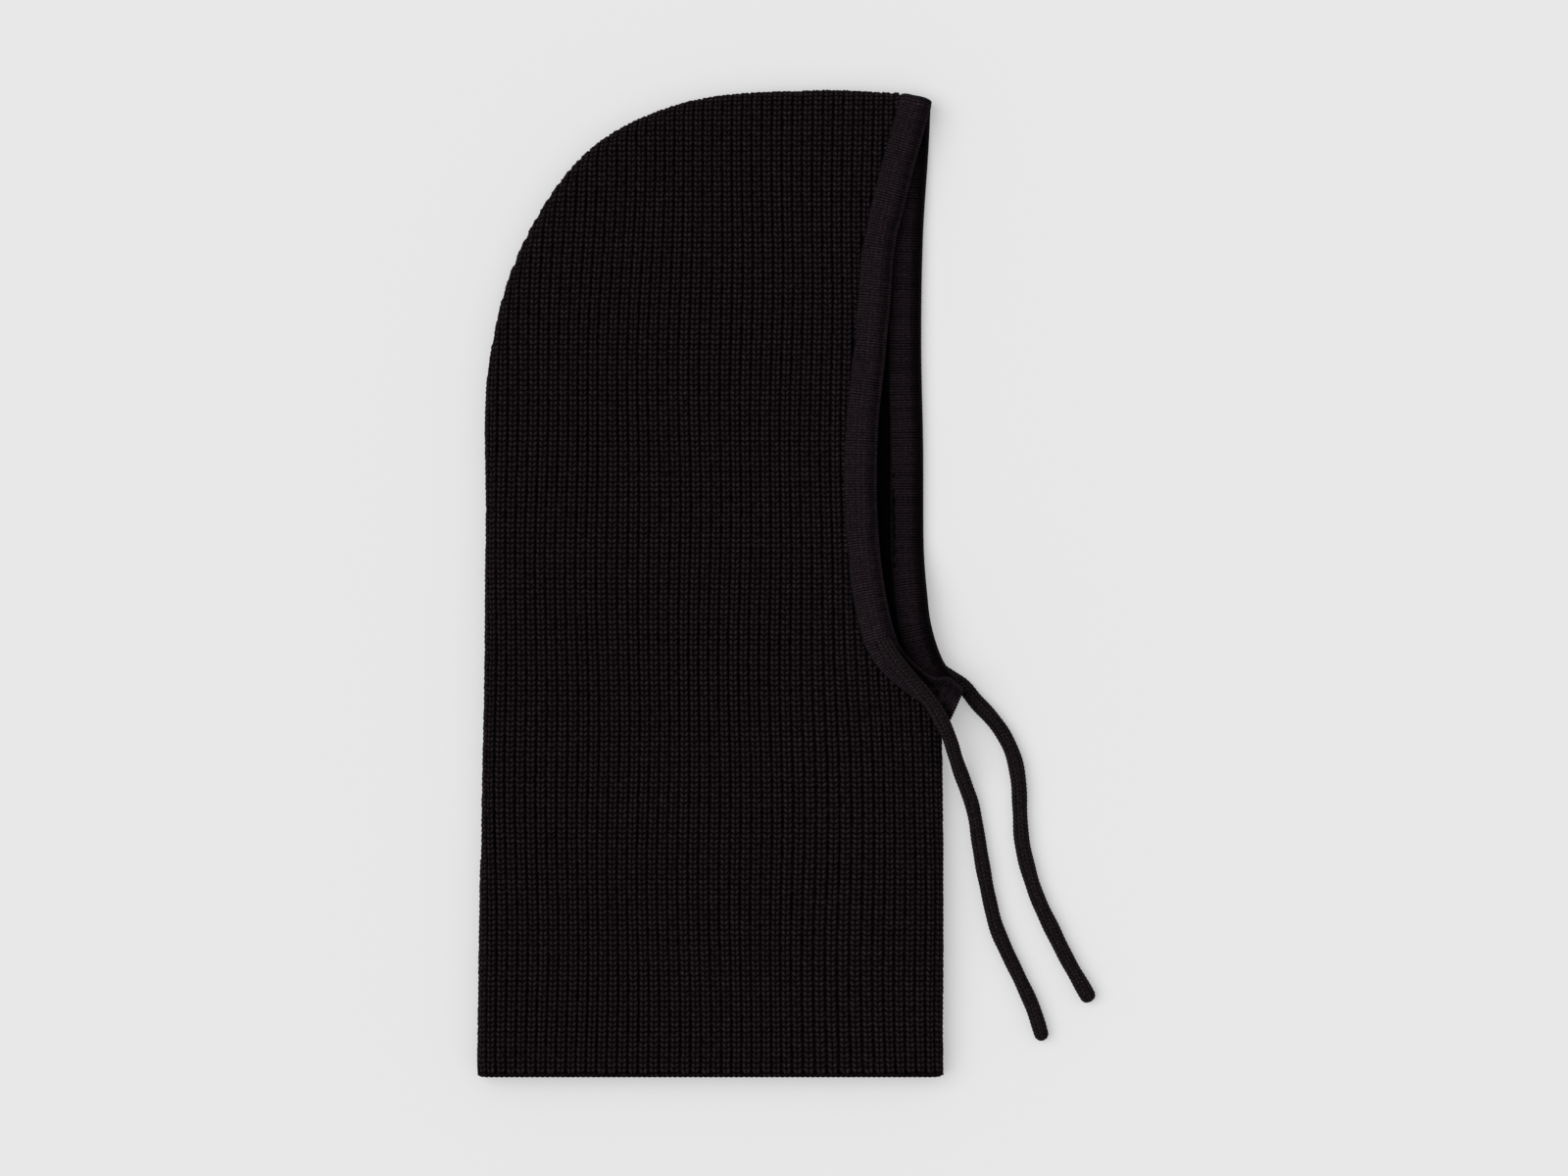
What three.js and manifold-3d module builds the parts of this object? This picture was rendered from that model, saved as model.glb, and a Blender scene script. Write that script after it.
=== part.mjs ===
// Ribbed-knit balaclava, lying flat on its left side, with a drawstring face band.
// Millimetres. +X is the way the wearer faces, +Y runs from hem to crown, +Z is up off the surface.
// The origin is under the middle of the garment, on the surface that it lies on.
import * as THREE from "three";
import { mergeVertices } from "three/addons/utils/BufferGeometryUtils.js";
import Module from "manifold-3d";

const wasm = await Module();
wasm.setup();

// ---- driving dimensions ----
const GAP = 0.3;                 // clearance between neighbouring pieces
const LENGTH = 505;              // hem to crown
const HEM_Y = -LENGTH / 2;
const HEM_BACK_X = -124.5;       // back edge at the hem
const NECK_FRONT_X = 114.5;      // front edge of the neck
const PANEL = 4;                 // thickness of one ribbed wall
const HOLLOW = 5.4;              // space between the two walls
const THICKNESS = 2 * PANEL + HOLLOW;
const UPPER_Z = PANEL + HOLLOW;  // underside of the upper wall
const EDGE_ROUND = 1.3;          // rounding of a wall's rim

const BAND_WIDTH = 17;
const BAND_HALF = 3.3;           // half the band's thickness
const BAND_WALL = 1.1;           // fabric of the casing
const BAND_LOW_Z = BAND_HALF;    // centre of the far run
const BAND_HIGH_Z = 3 * BAND_HALF + GAP; // centre of the near run, lying on the far one
const FOLD_RADIUS = (BAND_HIGH_Z - BAND_LOW_Z) / 2;

const CORD = 6.5;                // drawstring diameter
const CORD_FLAT = [7, 3.8];      // the same cord pressed flat inside the casing
const CORD_SIDES = 10;
const TAIL_STEPS = 34;
const CHIN_LIFT = CORD + GAP;    // the far tail lies under the band's ends and lifts them
const LIFT_FROM_Y = 26;
const LIFT_TO_Y = -16;

const SEAM_WIDTH = 6;            // linked seam allowance, inside
const SEAM_INSET = 1;
const YARN = 0.9;                // linking yarn
const TACK_WIDTH = 11;
const HEM_ROW = 1.8;             // height of the cast-off row
const EYELET = [12, 8.4];        // length and width of the worked opening
const EYELET_RIM = 1.3;
const EYELET_THICKNESS = 0.8;
const CASING_CORD_END_RIGHT_Y = -25;
const CASING_CORD_END_LEFT_Y = -24;

// ---- routes, as stations on the flat garment ----
const BACK_AND_CROWN = [
  [HEM_BACK_X, HEM_Y], [-123, -150], [-121, -60], [-120, 30], [-118.5, 112],
  [-102, 172], [-67, 222], [-19, 246], [48, 252.4], [90, 251.2],
];
const RIGHT_BAND = [ // chin to crown, uppermost
  [120.3, -63.5], [113, -60.2], [105.5, -56], [97.5, -50.3], [90.5, -44], [84.5, -36],
  [80, -23.5], [75.3, 0], [72, 37], [72.5, 80], [76, 115], [79, 148], [81, 172], [86, 194],
  [91.5, 216], [99.5, 244],
];
const LEFT_BAND = [ // crown to chin, underneath
  [99.5, 244], [98.4, 222], [95.7, 180], [94.7, 125], [95.7, 70], [96.1, 15], [97.6, -6], [99.2, -20],
  [102.8, -34], [107.2, -44.5], [112, -51], [116.5, -55],
];
// The free tails, from inside the casing to their bare ends: x, y, z of the cord's centre.
const RIGHT_TAIL = [
  [82.8, -27.6, 17.8], [85.3, -32.4, 21.2], [88.9, -38.2, 23.5], [93.3, -43.9, 23.9],
  [98.4, -49.7, 23.9], [104, -56.3, 23.9], [109.5, -64, 23.9], [114, -72, 22.8],
  [117.4, -80, 19.2], [120, -88, 13.4], [122.8, -96, 8.4], [126, -104.5, 4.9], [129, -113, 3.6],
  [131, -122, 3.3], [132.5, -132, 3.3], [135, -147, 3.3], [138, -162, 3.3], [141.5, -176, 3.3],
  [147, -189, 3.3], [154, -203.5, 3.3], [160.5, -218, 3.3], [165.7, -234.5, 3.3],
];
const LEFT_TAIL = [
  [100.3, -26.5, 9.1], [102.6, -31.6, 6], [106, -37.5, 3.8], [111.3, -43.6, 3.3],
  [118, -48.2, 3.3], [125, -53.2, 3.3], [131.5, -61, 3.3], [139, -69, 3.3], [145.5, -78, 3.3],
  [150.5, -89, 3.3], [153, -102, 3.3], [153.7, -117, 3.3], [154.7, -132, 3.3], [158, -147, 3.3],
  [163, -162, 3.3], [170, -177, 3.3], [178, -193, 3.3], [184.5, -204.5, 3.3],
  [190.2, -214.5, 3.3],
];

// ---- helpers ----
const material = (color, roughness) => new THREE.MeshStandardMaterial({ color, roughness, metalness: 0 });
const ribKnit = material(0x131012, 0.95);
const fineKnit = material(0x1b1619, 0.92);
const cordKnit = material(0x151314, 0.9);
const yarn = material(0x100e0f, 0.9);

const curve = (stations) =>
  new THREE.CatmullRomCurve3(stations.map(([x, y, z = 0]) => new THREE.Vector3(x, y, z)));

const smooth = (t) => THREE.MathUtils.smoothstep(t, 0, 1);
const liftAt = (y) => CHIN_LIFT * smooth((LIFT_FROM_Y - y) / (LIFT_FROM_Y - LIFT_TO_Y));

function mesh(name, geometry, finish) {
  const piece = new THREE.Mesh(geometry, finish);
  piece.name = name;
  return piece;
}

// A strip's route: where its centre passes and which way its width points at each station.
class StripPath extends THREE.Curve {
  constructor(stations) {
    super();
    this.stations = stations;
  }

  getSpacedPoints() {
    return this.stations.map((station) => station.place.clone());
  }

  computeFrenetFrames() {
    const last = this.stations.length - 1;
    const tangents = this.stations.map((_, i) => new THREE.Vector3().subVectors(
      this.stations[Math.min(i + 1, last)].place,
      this.stations[Math.max(i - 1, 0)].place,
    ).normalize());
    const normals = this.stations.map((station) => station.side.clone());
    const binormals = tangents.map((tangent, i) => tangent.clone().cross(normals[i]).normalize());
    return { tangents, normals, binormals };
  }
}

function sweepStrip(stations, section) {
  return new THREE.ExtrudeGeometry(section, {
    steps: stations.length - 1,
    extrudePath: new StripPath(stations),
  });
}

function sweepRound(route, diameter, sides, steps) {
  const section = new THREE.Shape();
  section.setFromPoints(Array.from({ length: sides }, (_, i) => {
    const angle = (2 * Math.PI * i) / sides;
    return new THREE.Vector2(Math.cos(angle), Math.sin(angle)).multiplyScalar(diameter / 2);
  }));
  return new THREE.ExtrudeGeometry(section, { steps, extrudePath: route });
}

// A rounded bar section: a rectangle with rounded short sides.
function barPoints(width, height, perCorner) {
  const radius = Math.min(width, height) / 2;
  const points = [];
  const centres = [[1, 1, 0], [-1, 1, 90], [-1, -1, 180], [1, -1, 270]];
  for (const [sx, sy, start] of centres) {
    for (let i = 0; i <= perCorner; i += 1) {
      const angle = THREE.MathUtils.degToRad(start + (90 * i) / perCorner);
      points.push(new THREE.Vector2(
        sx * (width / 2 - radius) + radius * Math.cos(angle),
        sy * (height / 2 - radius) + radius * Math.sin(angle),
      ));
    }
  }
  return points.filter((point, i) => point.distanceTo(points[(i + 1) % points.length]) > 0.01);
}

function barShape(width, height, perCorner, hole) {
  const shape = new THREE.Shape(barPoints(width, height, perCorner));
  if (hole) shape.holes.push(new THREE.Path(barPoints(hole[0], hole[1], perCorner).reverse()));
  return shape;
}

function toSolid(geometry) {
  const bare = geometry.clone();
  bare.deleteAttribute("normal");
  bare.deleteAttribute("uv");
  const merged = mergeVertices(bare, 1e-4);
  return new wasm.Manifold(new wasm.Mesh({
    numProp: 3,
    vertProperties: new Float32Array(merged.attributes.position.array),
    triVerts: new Uint32Array(merged.index.array),
  }));
}

function toGeometry(solid) {
  const { vertProperties, triVerts } = solid.getMesh();
  const geometry = new THREE.BufferGeometry();
  geometry.setAttribute("position", new THREE.BufferAttribute(vertProperties, 3));
  geometry.setIndex(new THREE.BufferAttribute(triVerts, 1));
  geometry.computeVertexNormals();
  return geometry;
}

const cutFrom = (geometry, ...cutters) =>
  toGeometry(cutters.reduce((solid, cutter) => solid.subtract(toSolid(cutter)), toSolid(geometry)));

// ---- the band's route ----
const FLAT_STEPS = 34;

function flatRun(stations, centreZ, widthSign) {
  const route = curve(stations);
  return Array.from({ length: FLAT_STEPS + 1 }, (_, i) => {
    const place = route.getPointAt(i / FLAT_STEPS);
    const heading = route.getTangentAt(i / FLAT_STEPS);
    place.z = centreZ + liftAt(place.y);
    return { place, side: new THREE.Vector3(heading.y, -heading.x, 0).multiplyScalar(widthSign) };
  });
}

const rightRun = flatRun(RIGHT_BAND, BAND_HIGH_Z, 1);
const leftRun = flatRun(LEFT_BAND, BAND_LOW_Z, -1);

function foldOver() {
  const from = rightRun.at(-1);
  const to = leftRun[0];
  const outward = new THREE.Vector3(-from.side.y - to.side.y, from.side.x + to.side.x, 0).normalize();
  return [30, 60, 90, 120, 150].map((degrees) => {
    const angle = THREE.MathUtils.degToRad(degrees);
    const place = from.place.clone().lerp(to.place, 0.5);
    place.z += FOLD_RADIUS * Math.cos(angle);
    place.addScaledVector(outward, FOLD_RADIUS * Math.sin(angle));
    const side = from.side.clone().lerp(to.side, degrees / 180).normalize();
    return { place, side };
  });
}

const bandStations = [...rightRun, ...foldOver(), ...leftRun];

// The edge of the band that is linked to a wall, on the flat garment.
const linkedEdge = (run, distance) =>
  run.map(({ place, side }) => place.clone().addScaledVector(side, -distance));

// ---- walls ----
// A wall's outline: up the back, over the crown, down the face edge, down the neck.
function wallOutline(crownToChin) {
  const rim = curve(BACK_AND_CROWN).getPoints(48);
  const face = linkedEdge(crownToChin, BAND_WIDTH / 2 + GAP)
    .filter((point) => point.x < NECK_FRONT_X - 4);
  const neck = [[NECK_FRONT_X - 0.5, -78], [NECK_FRONT_X, -120]];
  const hemY = HEM_Y + HEM_ROW + GAP;
  const points = [
    ...rim.filter((point) => point.y > hemY + 5).map((point) => [point.x, point.y]),
    ...face.map((point) => [point.x, point.y]),
    ...neck,
    [NECK_FRONT_X, hemY],
    [HEM_BACK_X, hemY],
  ];
  return new THREE.Shape(points.map(([x, y]) => new THREE.Vector2(x, y)).reverse());
}

function wall(crownToChin) {
  return new THREE.ExtrudeGeometry(wallOutline(crownToChin), {
    depth: PANEL - 2 * EDGE_ROUND,
    bevelThickness: EDGE_ROUND,
    bevelSize: EDGE_ROUND,
    bevelOffset: -EDGE_ROUND,
    bevelSegments: 2,
    curveSegments: 1,
  }).translate(0, 0, EDGE_ROUND);
}

// ---- seams between the two walls ----
function seamStrip(stations, steps) {
  const route = curve(stations);
  const inset = SEAM_INSET + SEAM_WIDTH / 2;
  const along = Array.from({ length: steps + 1 }, (_, i) => {
    const heading = route.getTangentAt(i / steps);
    const side = new THREE.Vector3(heading.y, -heading.x, 0).normalize();
    const place = route.getPointAt(i / steps).addScaledVector(side, inset);
    place.z = THICKNESS / 2;
    return { place, side };
  });
  return sweepStrip(along, barShape(SEAM_WIDTH, HOLLOW - 2 * GAP, 1));
}

// A chain of linking yarn in the corner where the band meets a wall.
function linkingChain(run, z) {
  const edge = linkedEdge(run, BAND_WIDTH / 2 + GAP + YARN);
  const level = edge.filter((point) => point.x < NECK_FRONT_X - 8);
  level.forEach((point) => { point.z = z; });
  return sweepRound(new THREE.CatmullRomCurve3(level), YARN, 6, level.length - 1);
}

// ---- drawstring, eyelets and end stitching ----
const insideCasing = bandStations.slice(
  bandStations.findIndex(({ place }) => place.y > CASING_CORD_END_RIGHT_Y),
  bandStations.findLastIndex(({ place }) => place.y > CASING_CORD_END_LEFT_Y) + 1,
);

const tail = (stations, diameter) => sweepRound(curve(stations), diameter, CORD_SIDES, TAIL_STEPS);

// A flat shape of the worked opening, lying against the band's outer face where the tail leaves.
function atExit(shape, thickness, run, tailStations, fromCentre) {
  const [start, next] = tailStations;
  const x = (start[0] + next[0]) / 2;
  const y = (start[1] + next[1]) / 2;
  const away = ({ place }) => Math.hypot(place.x - x, place.y - y);
  const nearest = run.reduce((best, station) => (away(station) < away(best) ? station : best));
  return new THREE.ExtrudeGeometry(shape, { depth: thickness, bevelEnabled: false })
    .translate(0, 0, -thickness / 2)
    .rotateZ(Math.atan2(nearest.side.y, nearest.side.x) + Math.PI / 2)
    .translate(x, y, nearest.place.z + fromCentre);
}

function eyeletRing(run, tailStations, faceSign) {
  const rim = barShape(EYELET[0] + 2 * EYELET_RIM, EYELET[1] + 2 * EYELET_RIM, 3, EYELET);
  const fromCentre = faceSign * (BAND_HALF + GAP + EYELET_THICKNESS / 2);
  return atExit(rim, EYELET_THICKNESS, run, tailStations, fromCentre);
}

// The opening through the casing's outer fabric only.
const eyeletHole = (run, tailStations, faceSign) =>
  atExit(barShape(...EYELET, 3), 2 * BAND_WALL, run, tailStations, faceSign * BAND_HALF);

function endStitch(run) {
  const [first, second] = run;
  const stitch = second.place.clone().sub(first.place).setLength(2).add(first.place);
  const section = barShape(BAND_WIDTH - 2 * BAND_WALL - 2 * GAP, 2 * (BAND_HALF - BAND_WALL - GAP), 2);
  return sweepStrip([first, { place: stitch, side: first.side }], section);
}

// Stitching that holds the upper band end over the lower one, beyond the ends' front edges.
function chinTack() {
  const end = rightRun[0];
  const beyond = new THREE.Vector3(end.side.y, -end.side.x, 0).multiplyScalar(GAP + YARN);
  const centre = end.place.clone().add(beyond);
  centre.z = (BAND_LOW_Z + BAND_HIGH_Z) / 2 + CHIN_LIFT;
  const tack = new THREE.BoxGeometry(TACK_WIDTH, 2 * YARN, 2 * BAND_HALF);
  tack.rotateZ(Math.atan2(end.side.y, end.side.x));
  return tack.translate(centre.x, centre.y, centre.z);
}

// ---- hem ----
function hemEdge() {
  const width = NECK_FRONT_X - HEM_BACK_X;
  const frame = barShape(width, THICKNESS, 3, [width - 2 * PANEL, HOLLOW]);
  return new THREE.ExtrudeGeometry(frame, { depth: HEM_ROW, bevelEnabled: false })
    .rotateX(Math.PI / 2)
    .translate((NECK_FRONT_X + HEM_BACK_X) / 2, HEM_Y + HEM_ROW, THICKNESS / 2);
}

// ---- assembly ----
const balaclava = new THREE.Group();

const upperWall = wall([...rightRun].reverse()).translate(0, 0, UPPER_Z);
balaclava.add(mesh("right_side_panel", upperWall, ribKnit));
balaclava.add(mesh("left_side_panel", wall(leftRun), ribKnit));

balaclava.add(mesh("centre_back_seam", seamStrip(
  [[-124.4, -248], [-123, -150], [-121, -60], [-120, 30], [-119, 88]], 8), yarn));
balaclava.add(mesh("crown_seam", seamStrip(
  [[-118.8, 96], [-116, 130], [-102, 172], [-67, 222], [-19, 246], [30, 251.3], [76, 252]], 26), yarn));
balaclava.add(mesh("front_neck_seam", seamStrip(
  [[NECK_FRONT_X, -92], [NECK_FRONT_X, -170], [NECK_FRONT_X, -248]], 4), yarn));

const roomForTails = [RIGHT_TAIL, LEFT_TAIL].map((stations) => tail(stations, CORD + 2 * GAP));
const casing = sweepStrip(bandStations, barShape(BAND_WIDTH, 2 * BAND_HALF, 3,
  [BAND_WIDTH - 2 * BAND_WALL, 2 * (BAND_HALF - BAND_WALL)]));
balaclava.add(mesh("face_band", cutFrom(
  casing,
  eyeletHole(rightRun, RIGHT_TAIL, 1),
  eyeletHole(leftRun, LEFT_TAIL, -1),
  ...roomForTails,
), fineKnit));

balaclava.add(mesh("right_band_linking", linkingChain(rightRun, UPPER_Z - GAP - YARN / 2), yarn));
balaclava.add(mesh("left_band_linking", linkingChain(leftRun, PANEL + GAP + YARN / 2), yarn));

balaclava.add(mesh("right_eyelet", cutFrom(eyeletRing(rightRun, RIGHT_TAIL, 1), roomForTails[0]), yarn));
balaclava.add(mesh("left_eyelet", cutFrom(eyeletRing(leftRun, LEFT_TAIL, -1), roomForTails[1]), yarn));
balaclava.add(mesh("right_band_end_stitch", endStitch(rightRun), yarn));
balaclava.add(mesh("left_band_end_stitch", endStitch([...leftRun].reverse()), yarn));
balaclava.add(mesh("chin_tack", chinTack(), yarn));

balaclava.add(mesh("drawstring_in_casing", sweepStrip(insideCasing, barShape(...CORD_FLAT, 2)), cordKnit));
balaclava.add(mesh("drawstring_right_tail", tail(RIGHT_TAIL, CORD), cordKnit));
balaclava.add(mesh("drawstring_left_tail", tail(LEFT_TAIL, CORD), cordKnit));
balaclava.add(mesh("hem_edge", hemEdge(), ribKnit));

export default balaclava;
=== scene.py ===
# %% [markdown]
# # A ribbed-knit balaclava with a drawstring
# The hood lies flat on its left side. Its two halves are knitted in a chunky rib, a fine-knit
# band is folded round the face opening as a casing, and one knitted cord runs through it.
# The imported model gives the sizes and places, and this script gives the pieces their fabric.

# %% Frame
import math

import bpy
import numpy as np
from mathutils.geometry import delaunay_2d_cdt
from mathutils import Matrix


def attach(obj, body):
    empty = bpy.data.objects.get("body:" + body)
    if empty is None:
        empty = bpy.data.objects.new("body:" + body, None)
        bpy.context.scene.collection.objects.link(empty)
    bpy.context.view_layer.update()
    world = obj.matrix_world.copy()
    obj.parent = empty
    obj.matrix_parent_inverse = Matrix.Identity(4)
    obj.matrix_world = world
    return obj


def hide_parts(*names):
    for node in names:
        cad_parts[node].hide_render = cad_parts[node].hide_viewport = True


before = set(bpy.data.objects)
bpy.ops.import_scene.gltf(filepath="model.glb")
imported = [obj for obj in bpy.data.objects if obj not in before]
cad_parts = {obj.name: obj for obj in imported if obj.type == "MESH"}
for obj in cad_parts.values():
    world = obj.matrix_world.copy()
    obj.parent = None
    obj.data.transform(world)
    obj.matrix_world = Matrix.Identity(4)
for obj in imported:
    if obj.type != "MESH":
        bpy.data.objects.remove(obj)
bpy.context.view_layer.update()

# %% [markdown]
# ## Camera, floor and light
# The garment is seen from straight above, under one broad soft light from the upper left. A
# sun with a wide angle lights the floor evenly and still gives the soft shadow beside the
# fabric. The floor glows a little, like a back-lit sheet, so that its shadows stay pale.

# %% Camera
VIEW_WIDTH = 0.8
LENS = 100.0
SENSOR = 36.0
VIEW_CENTRE = (0.0328, -0.0025)
FABRIC_TOP = 0.0134


def add_camera():
    data = bpy.data.cameras.new("camera")
    data.lens = LENS
    data.sensor_width = SENSOR
    camera = bpy.data.objects.new("camera", data)
    bpy.context.scene.collection.objects.link(camera)
    camera.location = (*VIEW_CENTRE, VIEW_WIDTH * LENS / SENSOR + FABRIC_TOP)
    bpy.context.scene.camera = camera
    print("camera height", round(camera.location.z, 3))


add_camera()

# %% Floor and light
FLOOR_SIDE = 60.0
FLOOR_TONE = 0.50
FLOOR_GLOW = 0.305
SUN_STRENGTH = 1.65
SUN_SPREAD = math.radians(60)
SUN_TILT = (math.radians(-5), math.radians(-36), 0)
SKY_STRENGTH = 0.58


def add_floor_and_light():
    bpy.ops.object.select_all(action="DESELECT")
    bpy.ops.mesh.primitive_plane_add(size=FLOOR_SIDE, location=(0, 0, -0.0002))
    floor = bpy.context.object
    floor.name = "floor"
    paint = bpy.data.materials.new("pale_floor")
    paint.use_nodes = True
    shader = paint.node_tree.nodes["Principled BSDF"]
    shader.inputs["Base Color"].default_value = (FLOOR_TONE, FLOOR_TONE, FLOOR_TONE, 1)
    shader.inputs["Roughness"].default_value = 0.9
    shader.inputs["Specular IOR Level"].default_value = 0.0
    shader.inputs["Emission Color"].default_value = (1, 1, 1, 1)
    shader.inputs["Emission Strength"].default_value = FLOOR_GLOW
    floor.data.materials.append(paint)

    sun = bpy.data.lights.new("soft_sun", "SUN")
    sun.energy = SUN_STRENGTH
    sun.angle = SUN_SPREAD
    lamp = bpy.data.objects.new("soft_sun", sun)
    lamp.rotation_euler = SUN_TILT
    bpy.context.scene.collection.objects.link(lamp)

    sky = bpy.data.worlds.new("sky")
    bpy.context.scene.world = sky
    sky.use_nodes = True
    sky.node_tree.nodes["Background"].inputs["Color"].default_value = (1, 1, 1, 1)
    sky.node_tree.nodes["Background"].inputs["Strength"].default_value = SKY_STRENGTH
    bpy.context.scene.view_settings.view_transform = "Standard"


add_floor_and_light()

# %% [markdown]
# ## Routes
# Every edge of the garment is one smooth curve through a few listed stations, in metres.
# The curve is a centripetal Catmull-Rom spline, which doesn't overshoot between stations
# that are unevenly spaced.

# %% Stations
HEM_Y = -0.2525
MID_Z = FABRIC_TOP / 2
NECK_FRONT_X = 0.1145
BACK_AND_CROWN = [
    (-0.1245, HEM_Y), (-0.123, -0.150), (-0.121, -0.060), (-0.120, 0.030), (-0.1185, 0.112),
    (-0.102, 0.172), (-0.067, 0.222), (-0.019, 0.246), (0.048, 0.2524), (0.090, 0.2512),
]
RIGHT_BAND = [
    (0.1203, -0.0635), (0.1130, -0.0602), (0.1055, -0.0560), (0.0975, -0.0503),
    (0.0905, -0.0440), (0.0845, -0.0360), (0.0800, -0.0235), (0.0753, 0.0000), (0.0720, 0.0370),
    (0.0725, 0.0800), (0.0760, 0.1150), (0.0790, 0.1480), (0.0810, 0.1720), (0.0860, 0.1940),
    (0.0915, 0.2160), (0.0995, 0.2440),
]
LEFT_BAND = [
    (0.0995, 0.2440), (0.0984, 0.2220), (0.0957, 0.1800), (0.0947, 0.1250), (0.0957, 0.0700),
    (0.0961, 0.0150), (0.0976, -0.0060), (0.0992, -0.0200), (0.1028, -0.0340),
    (0.1072, -0.0445), (0.1120, -0.0510), (0.1165, -0.0550),
]
RIGHT_TAIL = [
    (0.0828, -0.0276, 0.0178), (0.0853, -0.0324, 0.0212), (0.0889, -0.0382, 0.0235),
    (0.0933, -0.0439, 0.0239), (0.0984, -0.0497, 0.0239), (0.1040, -0.0563, 0.0239),
    (0.1095, -0.0640, 0.0239), (0.1140, -0.0720, 0.0228), (0.1174, -0.0800, 0.0192),
    (0.1200, -0.0880, 0.0134), (0.1228, -0.0960, 0.0084), (0.1260, -0.1045, 0.0049),
    (0.1290, -0.1130, 0.0036), (0.1310, -0.1220, 0.0033), (0.1325, -0.1320, 0.0033),
    (0.1350, -0.1470, 0.0033), (0.1380, -0.1620, 0.0033), (0.1415, -0.1760, 0.0033),
    (0.1470, -0.1890, 0.0033), (0.1540, -0.2035, 0.0033), (0.1605, -0.2180, 0.0033),
    (0.1657, -0.2345, 0.0033),
]
LEFT_TAIL = [
    (0.1003, -0.0265, 0.0091), (0.1026, -0.0316, 0.0060), (0.1060, -0.0375, 0.0038),
    (0.1113, -0.0436, 0.0033), (0.1180, -0.0482, 0.0033), (0.1250, -0.0532, 0.0033),
    (0.1315, -0.0610, 0.0033), (0.1390, -0.0690, 0.0033), (0.1455, -0.0780, 0.0033),
    (0.1505, -0.0890, 0.0033), (0.1530, -0.1020, 0.0033), (0.1537, -0.1170, 0.0033),
    (0.1547, -0.1320, 0.0033), (0.1580, -0.1470, 0.0033), (0.1630, -0.1620, 0.0033),
    (0.1700, -0.1770, 0.0033), (0.1780, -0.1930, 0.0033), (0.1845, -0.2045, 0.0033),
    (0.1902, -0.2145, 0.0033),
]

# %% Smooth curves


def spline(stations, spacing):
    """Evenly spaced points on a centripetal Catmull-Rom curve through the stations."""
    p = np.array(stations, float)
    p = np.vstack([2 * p[0] - p[1], p, 2 * p[-1] - p[-2]])
    fine = []
    s = np.linspace(0, 1, 40, endpoint=False)[:, None]
    for a, b, c, d in zip(p, p[1:], p[2:], p[3:]):
        ab, bc, cd = (math.sqrt(np.linalg.norm(q - r)) for q, r in ((b, a), (c, b), (d, c)))
        start = ((b - a) / ab - (c - a) / (ab + bc) + (c - b) / bc) * bc
        end = ((c - b) / bc - (d - b) / (bc + cd) + (d - c) / cd) * bc
        fine.append(b + start * s + (3 * (c - b) - 2 * start - end) * s**2
                    + (2 * (b - c) + start + end) * s**3)
    fine = np.vstack([*fine, p[-2:-1]])
    return even_steps(fine, spacing)


def even_steps(points, spacing):
    """The same line with its points a fixed distance apart."""
    along = distances_along(points)
    steps = np.linspace(0, along[-1], max(2, round(along[-1] / spacing) + 1))
    return at_distances(points, along, steps)


def headings(points):
    """The unit direction of travel at each point of a line."""
    step = np.gradient(points, axis=0)
    return step / np.linalg.norm(step, axis=1, keepdims=True)


def right_of(direction):
    return np.stack([direction[:, 1], -direction[:, 0]], axis=1)


def in_space(directions):
    """Flat directions as 3-D ones."""
    return np.column_stack([directions, np.zeros(len(directions))])


def upright(count, way=1.0):
    return np.tile((0.0, 0.0, way), (count, 1))


def distances_along(points):
    """The distance from a line's start to each of its points."""
    return np.r_[0, np.cumsum(np.linalg.norm(np.diff(points, axis=0), axis=1))]


def at_distances(points, along, steps):
    """The points that lie these distances along a line."""
    return np.stack([np.interp(steps, along, axis) for axis in points.T], axis=1)


def ripple(turns):
    """A wave from 1 to 0 and back in each whole turn."""
    return 0.5 + 0.5 * np.cos(2 * math.pi * turns)


def round_section(count):
    return np.linspace(0, 2 * math.pi, count, endpoint=False)


def smooth(t):
    t = np.clip(t, 0, 1)
    return t * t * (3 - 2 * t)


def line_length(points):
    return float(distances_along(points)[-1])


print("crown and back edge", round(line_length(spline(BACK_AND_CROWN, 0.002)), 3), "m")

# %% [markdown]
# ## Meshes from grids
# A knitted surface is a grid of stitches, so the fabric pieces are built as grids of points
# in numpy and handed to Blender in one go. Each keeps two things for its material: a UV map
# that counts stitches, and a depth attribute, a mask of painted shade from 0 to 1: how deep a
# point lies between the ribs, and where shade falls on the band and inside the fabric.

# %% Mesh helper


def new_piece(name, points, faces, stitches=None, depth=None):
    mesh = bpy.data.meshes.new(name)
    mesh.from_pydata(np.asarray(points).tolist(), [], faces)
    mesh.validate()
    if stitches is not None:
        corners = np.empty(len(mesh.loops), dtype=np.int32)
        mesh.loops.foreach_get("vertex_index", corners)
        layer = mesh.uv_layers.new(name="stitches")
        layer.data.foreach_set("uv", np.asarray(stitches, np.float32)[corners].ravel())
    if depth is not None:
        attribute = mesh.attributes.new("depth", "FLOAT", "POINT")
        attribute.data.foreach_set("value", np.asarray(depth, np.float32))
    mesh.shade_smooth()
    piece = bpy.data.objects.new(name, mesh)
    bpy.context.scene.collection.objects.link(piece)
    return piece


def grid_faces(rows, columns, closed):
    """Quads between neighbouring rows of points; closed joins the last column to the first."""
    row, column = np.meshgrid(np.arange(rows - 1), np.arange(columns - (not closed)),
                              indexing="ij")
    following = (column + 1) % columns
    corners = [row * columns + column, row * columns + following,
               (row + 1) * columns + following, (row + 1) * columns + column]
    return np.stack([c.ravel() for c in corners], axis=1)


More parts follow.
